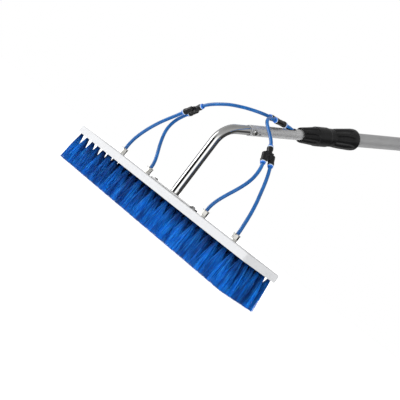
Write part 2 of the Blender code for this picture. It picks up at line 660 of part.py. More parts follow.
def build_hoses():
    for name in ("hose_feed", *HOSE_ROUTES):
        curve = bpy.data.curves.new(name, "CURVE")
        curve.dimensions = "3D"
        curve.bevel_depth = HOSE_RADIUS
        curve.bevel_resolution = 4
        curve.render_resolution_u = 0
        curve.use_fill_caps = True
        line = curve.splines.new("POLY")
        points = smooth_along(hose_route(name), 4 * HOSE_RADIUS)
        line.points.add(len(points) - 1)
        for spot, point in zip(line.points, points):
            spot.co = (*point, 1.0)
        curve.materials.append(material(name, HOSE_BLUE, 0.0, 0.3))
        made = bpy.data.objects.new(name, curve)
        bpy.context.scene.collection.objects.link(made)


def main():
    clear_scene()
    build_block()
    build_bristles()
    build_plate()
    build_gooseneck()
    axis = add_pole_axis()
    build_inner_tube(axis)
    build_grommet(axis)
    build_head_fasteners(axis)
    build_front_lock(axis)
    build_rear_lock(axis)
    build_collet("front_collet", INNER_RADIUS + GAP, 0.0180, 0.264, 0.296, axis)
    build_collet("rear_collet", MIDDLE_RADIUS + GAP, 0.0203, 0.358, 0.381, axis)
    build_pole_sections(axis)
    build_nozzles()
    build_y_connectors()
    build_hoses()


main()
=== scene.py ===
"""Looks of a water-fed cleaning brush on its three-section telescopic pole. Metres, +Z up.

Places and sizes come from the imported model. Pole pieces are made along their own local Z, as
distances from the gooseneck's corner, and a matrix lays them on the pole's axis.
"""

import json
import math
import random

import bmesh
import bpy
from mathutils import Matrix, Vector


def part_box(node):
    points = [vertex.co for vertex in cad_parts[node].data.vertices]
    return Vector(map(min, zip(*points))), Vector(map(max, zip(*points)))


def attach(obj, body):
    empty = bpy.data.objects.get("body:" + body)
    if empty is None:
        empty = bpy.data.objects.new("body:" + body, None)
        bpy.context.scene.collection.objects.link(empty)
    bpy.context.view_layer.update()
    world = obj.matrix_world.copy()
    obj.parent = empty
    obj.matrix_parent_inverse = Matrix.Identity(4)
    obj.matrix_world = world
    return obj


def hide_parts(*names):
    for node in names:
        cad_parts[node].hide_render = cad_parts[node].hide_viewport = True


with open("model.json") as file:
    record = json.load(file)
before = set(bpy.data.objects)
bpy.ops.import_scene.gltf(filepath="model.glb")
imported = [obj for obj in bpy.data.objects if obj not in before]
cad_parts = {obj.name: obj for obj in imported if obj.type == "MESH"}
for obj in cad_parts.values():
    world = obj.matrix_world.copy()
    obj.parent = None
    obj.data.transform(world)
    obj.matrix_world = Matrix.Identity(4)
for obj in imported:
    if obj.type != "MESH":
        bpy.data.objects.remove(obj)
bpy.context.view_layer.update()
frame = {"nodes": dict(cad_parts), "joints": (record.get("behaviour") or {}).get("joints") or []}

GAP = 0.0003
FINE_SIDES = 96
SMALL_SIDES = 48
COLLAR_SIDES = 192
WELD_SIDES = 144
HEX_FLAT = 0.014
HEAD_HEX_FLAT = 0.010
BLOCK_STEP = 0.0012
PLATE_BEVEL = 0.0005
NECK_BEND_RADIUS = 0.057
NECK_WALL = 0.0015
TUBE_WALL = 0.0012
BOLT_AT = 0.0826
RIVET_AT = 0.100
RIVET_TURN = math.radians(22)
SLOT_SPAN = (0.1872, 0.2175)
SLOT_WIDTH = 0.011

TUFT_PITCH_X = 0.0262
TUFTS_PER_ROW = 25
TUFT_ROWS = 6
TUFT_ROOT = 0.0037
TUFT_FAN_X = 0.0158
TUFT_FAN_Y = 0.0078
TUFT_FLARE = 1.4
TUFT_SPILL = 0.001
FILAMENTS = 96
FILAMENT_RADIUS = 0.00036
FILAMENT_TAPER = 0.2
FILAMENT_RINGS = 6
STRAY_SHARE = 0.06
STRAY_SPREAD = 2.6
BRISTLE_LENGTH = 0.075
FLUTES = 8
FLUTE_DEPTH = 0.0028
GRIP_RIBS = 18

HOSE_RADIUS = 0.004
HOSE_GRIP = 0.015
HOSE_LEAD = 0.006
HOSE_STEP = 0.003
Y_LENGTH = 0.048
Y_SPACING = 0.0195
Y_BARREL = 0.00725
COLLAR_TRAVEL = 0.0012
COLLAR_LIP = 0.0022
NOZZLE_X = {"left_outer": -0.220, "left_inner": -0.110, "right_inner": 0.110, "right_outer": 0.220}
NUT_TURNS = {"left_outer": 4, "left_inner": 5, "right_inner": -10, "right_outer": -13}

CAMERA_PLACE = Vector((1.607, -1.571, 0.117))
CAMERA_AIM = Vector((-0.698, 0.716, 0.0)).normalized()
CAMERA_ROLL = math.radians(37.2)
CAMERA_LENS = 92.3

# What glossy surfaces mirror, tuned to the photo's reflections: compass degrees from the
# camera's side and brightness, then the brightness from straight down to straight up.
PANELS = [(-180, 0.006), (-112, 0.006), (-106, 0.9), (-76, 0.9), (-70, 0.004), (-15, 0.004),
          (-7, 0.42), (30, 0.42), (43, 0.045), (62, 0.018), (135, 0.014), (180, 0.014)]
CEILING = [(0.0, 0.13), (0.45, 0.20), (0.75, 0.135), (1.0, 0.09)]
CEILING_BLEND = (0.14, 0.45)
MIRROR_STRENGTH = 3.2
SOFT_STRENGTH = 0.92
SOFT_LEAN = 0.42
FLOOR_GLOW = 0.6

# Each tube's colour, roughness and share of matt oxide.
ANODISED = {"inner": ((0.66, 0.66, 0.665), 0.42, 0.30),
            "middle": ((0.60, 0.60, 0.61), 0.44, 0.30),
            "outer": ((0.50, 0.50, 0.505), 0.48, 0.34)}


# Where each Y connector's inlet face is, which way its outlets point, and how they spread.
Y_PLACES = {
    "main": (Vector((0.000, 0.152, 0.3723)), (0.0, -0.980, -0.190), (1.0, 0.0, 0.0)),
    "left": (Vector((-0.140, 0.040, 0.293)), (-0.707, 0.062, -0.702), (-0.174, 0.950, 0.256)),
    "right": (Vector((0.088, 0.062, 0.302)), (0.599, -0.152, -0.785), (0.433, 0.888, 0.158)),
}

# The free run of each hose between its two fittings, from the Y connector on.
HOSE_ROUTES = {
    "hose_main_to_left": [
        (-0.012, 0.087, 0.359), (-0.019, 0.076, 0.355), (-0.031, 0.066, 0.35),
        (-0.046, 0.057, 0.344), (-0.062, 0.05, 0.337), (-0.079, 0.045, 0.33),
        (-0.096, 0.042, 0.321), (-0.111, 0.04, 0.313), (-0.126, 0.039, 0.304)],
    "hose_main_to_right": [
        (0.011, 0.089, 0.3595), (0.0155, 0.079, 0.355), (0.023, 0.0705, 0.349),
        (0.033, 0.065, 0.3425), (0.043, 0.063, 0.3365), (0.053, 0.0625, 0.3305),
        (0.062, 0.0625, 0.3245), (0.071, 0.063, 0.3185), (0.079, 0.0635, 0.312)],
    "hose_left_outer": [
        (-0.183, 0.0335, 0.244), (-0.193, 0.031, 0.23), (-0.201, 0.027, 0.216),
        (-0.2075, 0.022, 0.201), (-0.212, 0.0165, 0.185), (-0.2155, 0.011, 0.169),
        (-0.218, 0.0065, 0.153), (-0.2195, 0.0025, 0.138), (-0.22, 0.0005, 0.123)],
    "hose_left_inner": [
        (-0.1865, 0.0515, 0.248), (-0.1905, 0.046, 0.234), (-0.188, 0.039, 0.219),
        (-0.181, 0.031, 0.2055), (-0.171, 0.0235, 0.193), (-0.1595, 0.0165, 0.1815),
        (-0.1485, 0.011, 0.17), (-0.137, 0.006, 0.158), (-0.1265, 0.003, 0.146),
        (-0.1185, 0.0015, 0.135), (-0.1125, 0.0005, 0.124)],
    "hose_right_inner": [
        (0.121, 0.043, 0.248), (0.1265, 0.038, 0.232), (0.129, 0.0325, 0.216),
        (0.128, 0.0265, 0.1995), (0.125, 0.02, 0.183), (0.121, 0.0135, 0.167),
        (0.117, 0.0075, 0.151), (0.113, 0.003, 0.136), (0.1105, 0.0005, 0.121)],
    "hose_right_outer": [
        (0.132, 0.0595, 0.2525), (0.143, 0.054, 0.239), (0.154, 0.047, 0.226),
        (0.165, 0.0395, 0.213), (0.176, 0.0315, 0.2), (0.187, 0.024, 0.187),
        (0.197, 0.0165, 0.173), (0.206, 0.01, 0.158), (0.213, 0.0045, 0.142),
        (0.218, 0.001, 0.125)],
}

# Which Y connector port a hose starts at: the connector, and -1 or 1 for its outlets.
HOSE_STARTS = {
    "hose_main_to_left": ("main", -1),
    "hose_main_to_right": ("main", 1),
    "hose_left_outer": ("left", -1),
    "hose_left_inner": ("left", 1),
    "hose_right_inner": ("right", -1),
    "hose_right_outer": ("right", 1),
}

# The feed hose lies in the pole's middle plane: distance along the pole and height over its axis.
FEED_ROUTE = [
    (0.187, 0.0185), (0.194, 0.0162), (0.201, 0.0133), (0.208, 0.010), (0.215, 0.0065),
    (0.222, 0.0035), (0.229, 0.0011), (0.237, -0.0008), (0.246, -0.0021), (0.256, -0.0028),
    (0.268, -0.003), (0.282, -0.003), (0.296, -0.003)]


def pole_matrix():
    """Lays local Z on the pole's axis, with local -Y on the pole's upper side."""
    joint = next(joint for joint in frame["joints"] if joint["name"] == "front_lock_twist")
    axis = Vector(joint["axis"]).normalized()
    spot = Vector(joint["pos_m"])
    corner = spot - axis * (spot.y / axis.y)
    across = Vector((1, 0, 0))
    turn = Matrix((across, axis.cross(across), axis)).transposed().to_4x4()
    return Matrix.Translation(corner) @ turn


POLE = pole_matrix()
POLE_START = POLE.translation
POLE_ALONG = POLE.to_3x3().col[2]
POLE_UP = -POLE.to_3x3().col[1]


def along_pole(node):
    """A pole piece's start and end along the pole, and its outer radius."""
    flat = POLE.inverted()
    points = [flat @ vertex.co for vertex in frame["nodes"][node].data.vertices]
    radius = max(math.hypot(point.x, point.y) for point in points)
    return min(point.z for point in points), max(point.z for point in points), radius


# Camera, light and floor


def place_camera():
    """A level view across the brush, rolled so that the pole lies nearly flat in the picture."""
    camera = bpy.data.objects.new("camera", bpy.data.cameras.new("camera"))
    bpy.context.scene.collection.objects.link(camera)
    camera.data.lens = CAMERA_LENS
    camera.data.sensor_width = 36.0
    camera.data.clip_end = 50.0
    side = CAMERA_AIM.cross(Vector((0, 0, 1)))
    right = side * math.cos(CAMERA_ROLL) + Vector((0, 0, 1)) * math.sin(CAMERA_ROLL)
    up = -side * math.sin(CAMERA_ROLL) + Vector((0, 0, 1)) * math.cos(CAMERA_ROLL)
    turn = Matrix((right, up, -CAMERA_AIM)).transposed().to_4x4()
    camera.matrix_world = Matrix.Translation(CAMERA_PLACE) @ turn
    bpy.context.scene.camera = camera


def place_floor():
    floor_mesh = bpy.data.meshes.new("floor")
    bm = bmesh.new()
    bmesh.ops.create_grid(bm, x_segments=4, y_segments=4, size=12.0)
    bm.to_mesh(floor_mesh)
    bm.free()
    floor = bpy.data.objects.new("floor", floor_mesh)
    floor.location.z = -0.0005
    bpy.context.scene.collection.objects.link(floor)
    look, _, _, shader = new_material("floor")
    shader.inputs["Base Color"].default_value = (0.93, 0.93, 0.93, 1.0)
    shader.inputs["Roughness"].default_value = 0.9
    shader.inputs["Specular IOR Level"].default_value = 0.0
    shader.inputs["Emission Color"].default_value = (1.0, 1.0, 1.0, 1.0)
    shader.inputs["Emission Strength"].default_value = FLOOR_GLOW
    floor_mesh.materials.append(look)
    floor.visible_glossy = False


def background(nodes, strength=1.0):
    shown = nodes.new("ShaderNodeBackground")
    shown.inputs["Color"].default_value = (1.0, 1.0, 1.0, 1.0)
    shown.inputs["Strength"].default_value = strength
    return shown


def facing(nodes, links, direction, way):
    """How nearly a direction points along a way, from -1 to 1."""
    dot = nodes.new("ShaderNodeVectorMath")
    dot.operation = "DOT_PRODUCT"
    dot.inputs[1].default_value = way
    links.new(direction, dot.inputs[0])
    return dot.outputs["Value"]


def light_world():
    """What is seen is plain white, and matt surfaces get white light, a little stronger from
    above and from the picture's left.

    Glossy surfaces mirror tall light panels with dark gaps between them, laid out by compass
    angle, and a grey ceiling over them. That layout isn't what the camera sees.
    """
    world = bpy.data.worlds.new("studio")
    bpy.context.scene.world = world
    world.use_nodes = True
    nodes, links = world.node_tree.nodes, world.node_tree.links
    nodes.clear()
    direction = nodes.new("ShaderNodeTexCoord").outputs["Generated"]
    side = CAMERA_AIM.cross(Vector((0, 0, 1)))
    angle = nodes.new("ShaderNodeMath")
    angle.operation = "ARCTAN2"
    for slot, way in enumerate((side, -CAMERA_AIM)):
        links.new(facing(nodes, links, direction, way), angle.inputs[slot])
    panels = ramp_node(nodes, links, scaled(nodes, links, angle.outputs[0], -math.pi, math.pi),
                       [(degrees / 360 + 0.5, (value,) * 3) for degrees, value in PANELS])
    height = nodes.new("ShaderNodeSeparateXYZ")
    links.new(direction, height.inputs[0])
    tilt = math_node(nodes, links, "MULTIPLY_ADD", height.outputs["Z"], 0.5, 0.5)
    ceiling = ramp_node(nodes, links, tilt, [(spot, (value,) * 3) for spot, value in CEILING])
    level = math_node(nodes, links, "ABSOLUTE", height.outputs["Z"])
    room = mixed(nodes, links, scaled(nodes, links, level, *CEILING_BLEND), panels, ceiling)
    mirrored = background(nodes, MIRROR_STRENGTH)
    links.new(room, mirrored.inputs["Color"])
    lean = facing(nodes, links, direction, (Vector((0, 0, 0.5)) - side).normalized())
    soft = background(nodes)
    links.new(math_node(nodes, links, "MULTIPLY_ADD", lean, SOFT_LEAN, SOFT_STRENGTH),
              soft.inputs["Strength"])
    path = nodes.new("ShaderNodeLightPath")
    shown = soft
    for kind, other in (("Is Glossy Ray", mirrored), ("Is Camera Ray", background(nodes))):
        mix = nodes.new("ShaderNodeMixShader")
        links.new(path.outputs[kind], mix.inputs[0])
        links.new(shown.outputs[0], mix.inputs[1])
        links.new(other.outputs[0], mix.inputs[2])
        shown = mix
    out = nodes.new("ShaderNodeOutputWorld")
    links.new(shown.outputs[0], out.inputs["Surface"])


def place_light(name, place, size, power):
    lamp = bpy.data.lights.new(name, "AREA")
    lamp.size = size
    lamp.energy = power
    made = bpy.data.objects.new(name, lamp)
    made.location = place
    made.rotation_euler = (-Vector(place)).to_track_quat("-Z", "Y").to_euler()
    made.visible_camera = False
    bpy.context.scene.collection.objects.link(made)


# Materials


def new_material(name):
    look = bpy.data.materials.new(name)
    look.use_nodes = True
    nodes, links = look.node_tree.nodes, look.node_tree.links
    return look, nodes, links, nodes["Principled BSDF"]


def noise_node(nodes, links, scale, stretch=(1, 1, 1), detail=3.0, roughness=0.55):
    """Noise on the piece's own coordinates. A small stretch value draws it out that way."""
    place = nodes.new("ShaderNodeTexCoord")
    mapping = nodes.new("ShaderNodeMapping")
    mapping.inputs["Scale"].default_value = stretch
    noise = nodes.new("ShaderNodeTexNoise")
    noise.inputs["Scale"].default_value = scale
    noise.inputs["Detail"].default_value = detail
    noise.inputs["Roughness"].default_value = roughness
    links.new(place.outputs["Object"], mapping.inputs["Vector"])
    links.new(mapping.outputs["Vector"], noise.inputs["Vector"])
    return noise.outputs["Fac"]


def ramp_node(nodes, links, source, stops):
    ramp = nodes.new("ShaderNodeValToRGB")
    elements = ramp.color_ramp.elements
    elements[0].position, elements[0].color = stops[0][0], (*stops[0][1], 1.0)
    elements[1].position, elements[1].color = stops[-1][0], (*stops[-1][1], 1.0)
    for position, colour in stops[1:-1]:
        elements.new(position).color = (*colour, 1.0)
    links.new(source, ramp.inputs[0])
    return ramp.outputs["Color"]


def mixed(nodes, links, factor, first, second, blend="MIX"):
    """Mix two colours. Each of the three given is a socket or a plain value."""
    mix = nodes.new("ShaderNodeMix")
    mix.data_type = "RGBA"
    mix.blend_type = blend
    for slot, given in ((0, factor), (6, first), (7, second)):
        if isinstance(given, bpy.types.NodeSocket):
            links.new(given, mix.inputs[slot])
        else:
            mix.inputs[slot].default_value = given
    return mix.outputs[2]


def math_node(nodes, links, operation, source, *values):
    node = nodes.new("ShaderNodeMath")
    node.operation = operation
    links.new(source, node.inputs[0])
    for slot, value in enumerate(values, 1):
        node.inputs[slot].default_value = value
    return node.outputs[0]


def scaled(nodes, links, source, low, high):
    """Map a value from between low and high to between 0 and 1."""
    spread = nodes.new("ShaderNodeMapRange")
    spread.inputs["From Min"].default_value = low
    spread.inputs["From Max"].default_value = high
    links.new(source, spread.inputs["Value"])
    return spread.outputs["Result"]


def own_height(nodes, links):
    """A point's height in the piece's own coordinates."""
    place = nodes.new("ShaderNodeTexCoord")
    height = nodes.new("ShaderNodeSeparateXYZ")
    links.new(place.outputs["Object"], height.inputs[0])
    return height.outputs["Z"]


def vary(nodes, links, source, low, high, socket):
    """Feed a socket with a texture's value, mapped to between low and high."""
    spread = nodes.new("ShaderNodeMapRange")
    spread.inputs["From Min"].default_value = 0.3
    spread.inputs["From Max"].default_value = 0.7
    spread.inputs["To Min"].default_value = low
    spread.inputs["To Max"].default_value = high
    links.new(source, spread.inputs["Value"])
    links.new(spread.outputs["Result"], socket)


def bumps(nodes, links, shader, layers):
    """Stack bump layers of (height source, strength, distance) into the normal."""
    last = None
    for source, strength, distance in layers:
        bump = nodes.new("ShaderNodeBump")
        bump.inputs["Strength"].default_value = strength
        bump.inputs["Distance"].default_value = distance
        links.new(source, bump.inputs["Height"])
        if last:
            links.new(last.outputs["Normal"], bump.inputs["Normal"])
        last = bump
    links.new(last.outputs["Normal"], shader.inputs["Normal"])


def tinted(colour, factor):
    return tuple(min(1.0, channel * factor) for channel in colour)


def metal(name, colour, roughness, line_scale, line_depth, stretch=(1, 1, 0.012), spots=0.06,
          satin=0.0):
    """Drawn metal: fine lines along local Z, broad smudges, and a few deeper scratches.

    Satin is the share of matt oxide in an anodised skin.
    """
    look, nodes, links, shader = new_material(name)
    shader.inputs["Metallic"].default_value = 1.0 - satin
    lines = noise_node(nodes, links, line_scale, stretch, detail=4.0)
    smudge = noise_node(nodes, links, 38.0, detail=5.0)
    scratch = noise_node(nodes, links, line_scale * 0.35, (1, 1, 0.05), detail=1.0)
    tone = ramp_node(nodes, links, smudge, [
        (0.30, tinted(colour, 1.0 - spots)), (0.55, colour), (0.75, tinted(colour, 1.0 + spots))])
    links.new(tone, shader.inputs["Base Color"])
    vary(nodes, links, lines, roughness * 0.82, roughness * 1.2,
         shader.inputs["Roughness"])
    bumps(nodes, links, shader, [(lines, 0.35, line_depth),
                                 (scratch, 0.12, line_depth)])
    return look


def plated(name, colour, roughness):
    """Nickel plate over turned brass: soft blotches and tool rings round local Z."""
    look, nodes, links, shader = new_material(name)
    shader.inputs["Metallic"].default_value = 1.0
    blotch = noise_node(nodes, links, 320.0, detail=4.0)
    rings = noise_node(nodes, links, 700.0, (0.05, 0.05, 1), detail=2.0)
    tone = ramp_node(nodes, links, blotch, [
        (0.32, tinted(colour, 0.82)), (0.60, colour), (0.80, tinted(colour, 1.12))])
    links.new(tone, shader.inputs["Base Color"])
    vary(nodes, links, blotch, roughness * 0.7, roughness * 1.4,
         shader.inputs["Roughness"])
    bumps(nodes, links, shader, [(rings, 0.25, 0.00005)])
    return look


def plastic(name, colour, roughness, grain_scale, grain_depth, coat=0.0, wear=1.25, mottle=0.07,
            gloss=0.5):
    """Moulded plastic: a fine grain, slight colour drift, and edges rubbed a little lighter."""
    look, nodes, links, shader = new_material(name)
    shader.inputs["Coat Weight"].default_value = coat
    shader.inputs["Coat Roughness"].default_value = 0.12
    shader.inputs["Specular IOR Level"].default_value = gloss
    drift = noise_node(nodes, links, 45.0, detail=4.0)
    grain = noise_node(nodes, links, grain_scale, detail=2.0)
    tone = ramp_node(nodes, links, drift, [
        (0.30, tinted(colour, 1.0 - mottle)), (0.50, colour), (0.72, tinted(colour, 1.0 + mottle))])
    edge = nodes.new("ShaderNodeNewGeometry")
    worn = ramp_node(nodes, links, edge.outputs["Pointiness"], [
        (0.53, (0.0, 0.0, 0.0)), (0.62, (0.6, 0.6, 0.6))])
    rubbed = mixed(nodes, links, worn, tone, (*tinted(colour, wear), 1.0))
    links.new(rubbed, shader.inputs["Base Color"])
    vary(nodes, links, drift, roughness * 0.85, roughness * 1.15,
         shader.inputs["Roughness"])
    bumps(nodes, links, shader, [(grain, 0.3, grain_depth)])
    return look


def ring_material():
    """Release collar: bright blue, with the flange that a thumb presses on painted pale as a
    painted highlight.
    """
    look = plastic("ring_plastic", (0.012, 0.150, 0.620), 0.26, 1800.0, 0.00002, coat=0.4)
    nodes, links = look.node_tree.nodes, look.node_tree.links
    shader = nodes["Principled BSDF"]
    blue = shader.inputs["Base Color"].links[0].from_socket
    # Painted highlight: above the flange's foot the collar is painted pale, standing in for the
    # light the flange catches.
    flange = scaled(nodes, links, own_height(nodes, links), 0.0008, 0.0010)
    links.new(mixed(nodes, links, flange, blue, (0.66, 0.78, 0.92, 1.0)),
              shader.inputs["Base Color"])
    return look


def rubber(name, colour):
    look, nodes, links, shader = new_material(name)
    shader.inputs["Specular IOR Level"].default_value = 0.3
    dust = noise_node(nodes, links, 60.0, detail=6.0)
    pores = noise_node(nodes, links, 1400.0, detail=2.0)
    tone = ramp_node(nodes, links, dust, [
        (0.35, tinted(colour, 0.85)), (0.60, colour), (0.80, tinted(colour, 1.5))])
    links.new(tone, shader.inputs["Base Color"])
    vary(nodes, links, dust, 0.62, 0.85, shader.inputs["Roughness"])
    bumps(nodes, links, shader, [(pores, 0.6, 0.0001)])
    return look


def filament_material():
    """Blue nylon filaments, each a shade apart at random, with painted shade at the root and along
    the tips, and the palest strands partly a painted highlight.
    """
    look, nodes, links, shader = new_material("bristle_filament")
    strand = noise_node(nodes, links, 900.0, (1, 1, 0.015), detail=2.0)
    clump = noise_node(nodes, links, 60.0, (1, 1, 0.2), detail=2.0)
    # The strands' tones differ at random; the palest stop also stands in for highlights along the
    # strands, a painted highlight.
    shade = ramp_node(nodes, links, strand, [
        (0.30, (0.0004, 0.088, 0.54)), (0.44, (0.0010, 0.200, 0.90)), (0.58, (0.003, 0.32, 1.0)),
        (0.72, (0.09, 0.54, 1.0))])
    tone = ramp_node(nodes, links, clump, [
        (0.38, (0.22, 0.30, 0.40)), (0.57, (1.0, 1.0, 1.0))])
    # Painted shade: the strands are darkened towards the root, where the block and the other rows
    # shade them, and along the tips.
    level = scaled(nodes, links, own_height(nodes, links), 0.0, BRISTLE_LENGTH)
    painted_shade = ramp_node(nodes, links, level, [
        (0.0, (0.45, 0.45, 0.50)), (0.020, (0.70, 0.70, 0.72)), (0.045, (1.0, 1.0, 1.0)),
        (0.50, (1.0, 1.0, 1.0)), (0.80, (0.55, 0.52, 0.58)), (1.0, (0.30, 0.26, 0.32))])
    colour = mixed(nodes, links, 1.0, shade, tone, "MULTIPLY")
    colour = mixed(nodes, links, 1.0, colour, painted_shade, "MULTIPLY")
    links.new(colour, shader.inputs["Base Color"])
    vary(nodes, links, strand, 0.32, 0.48, shader.inputs["Roughness"])
    shader.inputs["Specular IOR Level"].default_value = 0.25
    return look


def hose_material():
    """Blue polyurethane tube: glossy skin over slightly milky plastic."""
    look, nodes, links, shader = new_material("hose")
    shader.inputs["Coat Weight"].default_value = 1.0
    shader.inputs["Coat Roughness"].default_value = 0.08
    shader.inputs["Coat IOR"].default_value = 1.5
    shader.inputs["Specular IOR Level"].default_value = 0.15
    drift = noise_node(nodes, links, 55.0, detail=3.0)
    tone = ramp_node(nodes, links, drift, [
        (0.30, (0.003, 0.088, 0.30)), (0.55, (0.005, 0.112, 0.37)), (0.78, (0.010, 0.145, 0.44))])
    links.new(tone, shader.inputs["Base Color"])
    scuff = noise_node(nodes, links, 220.0, detail=3.0)
    vary(nodes, links, scuff, 0.16, 0.24, shader.inputs["Roughness"])
    bumps(nodes, links, shader, [(scuff, 0.08, 0.00004)])
    return look


# Mesh helpers


def mesh_from(bm, name, sharp=40):
    bmesh.ops.recalc_face_normals(bm, faces=bm.faces)
    mesh = bpy.data.meshes.new(name)
    bm.to_mesh(mesh)
    bm.free()
    mesh.shade_smooth()
    mesh.set_sharp_from_angle(angle=math.radians(sharp))
    return mesh


def softened(outline, radius, ring=True):
    """Round an outline's corners with short curves. An open outline keeps its two ends."""
    count = len(outline)
    rounded = []
    for index, corner in enumerate(outline):
        if not ring and index in (0, count - 1):
            rounded.append(corner)
            continue
        here = Vector(corner)
        before = Vector(outline[index - 1]) - here
        after = Vector(outline[(index + 1) % count]) - here
        reach = min(radius, before.length * 0.45, after.length * 0.45)
        start = here + before.normalized() * reach
        end = here + after.normalized() * reach
        for step in range(4):
            t = step / 3
            spot = (1 - t) ** 2 * start + 2 * t * (1 - t) * here + t * t * end
            rounded.append((max(spot.x, 0.0), spot.y))
    return rounded


def turned(name, outline, sides=FINE_SIDES, ring=True):
    """Spin an outline of (radius, z) points about Z. A ring's outline closes on itself."""
    bm = bmesh.new()
    points = [bm.verts.new((radius, 0.0, z)) for radius, z in outline]
    pairs = list(zip(points, points[1:]))
    if ring:
        pairs.append((points[-1], points[0]))
    edges = [bm.edges.new(pair) for pair in pairs]
    bmesh.ops.spin(bm, geom=points + edges, axis=(0, 0, 1), cent=(0, 0, 0),
                   angle=math.tau, steps=sides, use_merge=True)
    bmesh.ops.remove_doubles(bm, verts=bm.verts, dist=1e-6)
    return mesh_from(bm, name)


def make_hexagonal(mesh, low, high, flat, least_radius):
    """Press the outer wall between two heights onto a hexagon, keeping chamfered ends round."""
    for vertex in mesh.vertices:
        radius = math.hypot(vertex.co.x, vertex.co.y)
        if not (low <= vertex.co.z <= high and radius > least_radius):
            continue
        angle = math.atan2(vertex.co.y, vertex.co.x) % math.radians(60) - math.radians(30)
        reach = min(radius, flat / 2 / math.cos(angle))
        vertex.co.x *= reach / radius
        vertex.co.y *= reach / radius


def prism(name, outline, low, high):
    bm = bmesh.new()
    face = bm.faces.new([bm.verts.new((x, y, low)) for x, y in outline])
    raised = bmesh.ops.extrude_face_region(bm, geom=[face])["geom"]
    lifted = [item for item in raised if isinstance(item, bmesh.types.BMVert)]
    bmesh.ops.translate(bm, verts=lifted, vec=(0, 0, high - low))
    return mesh_from(bm, name)


def round_cornered(half_x, half_y, radius, steps=8):
    """A rectangle's outline with round corners. Half_y equal to the radius gives round ends."""
    outline = []
    for turn, (x, y) in enumerate(((1, 1), (-1, 1), (-1, -1), (1, -1))):
        for step in range(steps + 1):
            angle = math.pi / 2 * (turn + step / steps)
            outline.append((x * (half_x - radius) + radius * math.cos(angle),
                            y * (half_y - radius) + radius * math.sin(angle)))
    return outline


def box_mesh(name, low, high):
    bm = bmesh.new()
    bmesh.ops.create_cube(bm, size=1.0)
    low, high = Vector(low), Vector(high)
    for vertex in bm.verts:
        vertex.co = Vector(a * b for a, b in zip(vertex.co, high - low)) + (high + low) / 2
    return mesh_from(bm, name)


def combined(mesh, tools, operation="DIFFERENCE", bevel=0.0):
    """A mesh after Boolean steps with the given tools, and then a bevel on its sharp edges."""
    piece = bpy.data.objects.new("combined", mesh)
    helpers = [piece]
    for tool in tools:
        helper = bpy.data.objects.new("tool", tool)
        helpers.append(helper)
        step = piece.modifiers.new("step", "BOOLEAN")
        step.operation = operation
        step.object = helper
    for helper in helpers:
        bpy.context.scene.collection.objects.link(helper)
    if bevel:
        add_bevel(piece, bevel)
    bpy.context.view_layer.update()
    graph = bpy.context.evaluated_depsgraph_get()
    made = bpy.data.meshes.new_from_object(piece.evaluated_get(graph))
    made.name = mesh.name
    for helper in helpers:
        bpy.data.objects.remove(helper, do_unlink=True)
    made.materials.clear()
    made.shade_smooth()
    made.set_sharp_from_angle(angle=math.radians(40))
    return made


def add_bevel(piece, width, angle=35):
    bevel = piece.modifiers.new("edges", "BEVEL")
    bevel.width = width
    bevel.segments = 3
    bevel.limit_method = "ANGLE"
    bevel.angle_limit = math.radians(angle)
    bevel.harden_normals = False


def show(name, mesh, look, body, nodes=(), matrix=None):
    """Put a finished piece in the scene, on its body, in place of the CAD nodes named."""
    piece = bpy.data.objects.new(name, mesh)
    bpy.context.scene.collection.objects.link(piece)
    if not mesh.materials:
        mesh.materials.append(look)
    if matrix is not None:
        piece.matrix_world = matrix
    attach(piece, body)
    if nodes:
        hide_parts(*nodes)
    return piece


# Brush head


def build_block(look):
    """The moulded block: a shallow step in from its top edge, and a groove under each row."""
    low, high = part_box("brush_block")
    half_x, half_y = high.x, high.y
    lower = prism("brush_block", round_cornered(half_x, half_y, 0.004), low.z,
                  high.z - BLOCK_STEP)
    upper = prism("upper", round_cornered(half_x - 0.0025, half_y - 0.0025, 0.0035),
                  high.z - 2 * BLOCK_STEP, high.z)
    grooves = []
    for row in range(TUFT_ROWS):
        y = (row - (TUFT_ROWS - 1) / 2) * row_pitch()
        groove = prism("groove", round_cornered(half_x - 0.006, 0.0052, 0.0051), low.z - 0.002,
                       low.z + 0.0006)
        groove.transform(Matrix.Translation((0, y, 0)))
        grooves.append(groove)
    mesh = combined(combined(lower, [upper], "UNION"), grooves)
    block = show("block_moulding", mesh, look, "head", ["brush_block"])
    add_bevel(block, BLOCK_STEP)


def row_pitch():
    """The distance between bristle rows, from the model."""
    first = sum((corner.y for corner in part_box("bristle_row_1")), 0.0) / 2
    last = sum((corner.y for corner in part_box(f"bristle_row_{TUFT_ROWS}")), 0.0) / 2
    return (last - first) / (TUFT_ROWS - 1)


def filament(root, tip, bow, rng, vertices, faces):
    """One tapered three-sided strand, spreading quickly at first and then running straighter."""
    turn = rng.uniform(0, math.tau)
    first = len(vertices)
    for ring in range(FILAMENT_RINGS):
        t = ring / (FILAMENT_RINGS - 1)
        spread = 1 - (1 - t) ** TUFT_FLARE
        swell = math.sin(math.pi * t)
        centre = Vector((root.x + (tip.x - root.x) * spread + bow.x * swell,
                         root.y + (tip.y - root.y) * spread + bow.y * swell,
                         root.z + (tip.z - root.z) * t))
        radius = FILAMENT_RADIUS * (1.0 - FILAMENT_TAPER * t)
        for corner in range(3):
            angle = turn + math.tau * corner / 3
            vertices.append((centre.x + radius * math.cos(angle),
                             centre.y + radius * math.sin(angle), centre.z))
    for ring in range(FILAMENT_RINGS - 1):
        for corner in range(3):
            a = first + ring * 3 + corner
            b = first + ring * 3 + (corner + 1) % 3
            faces.append((a, a + 3, b + 3, b))
    faces.append((first, first + 1, first + 2))
    end = first + (FILAMENT_RINGS - 1) * 3
    faces.append((end + 2, end + 1, end))


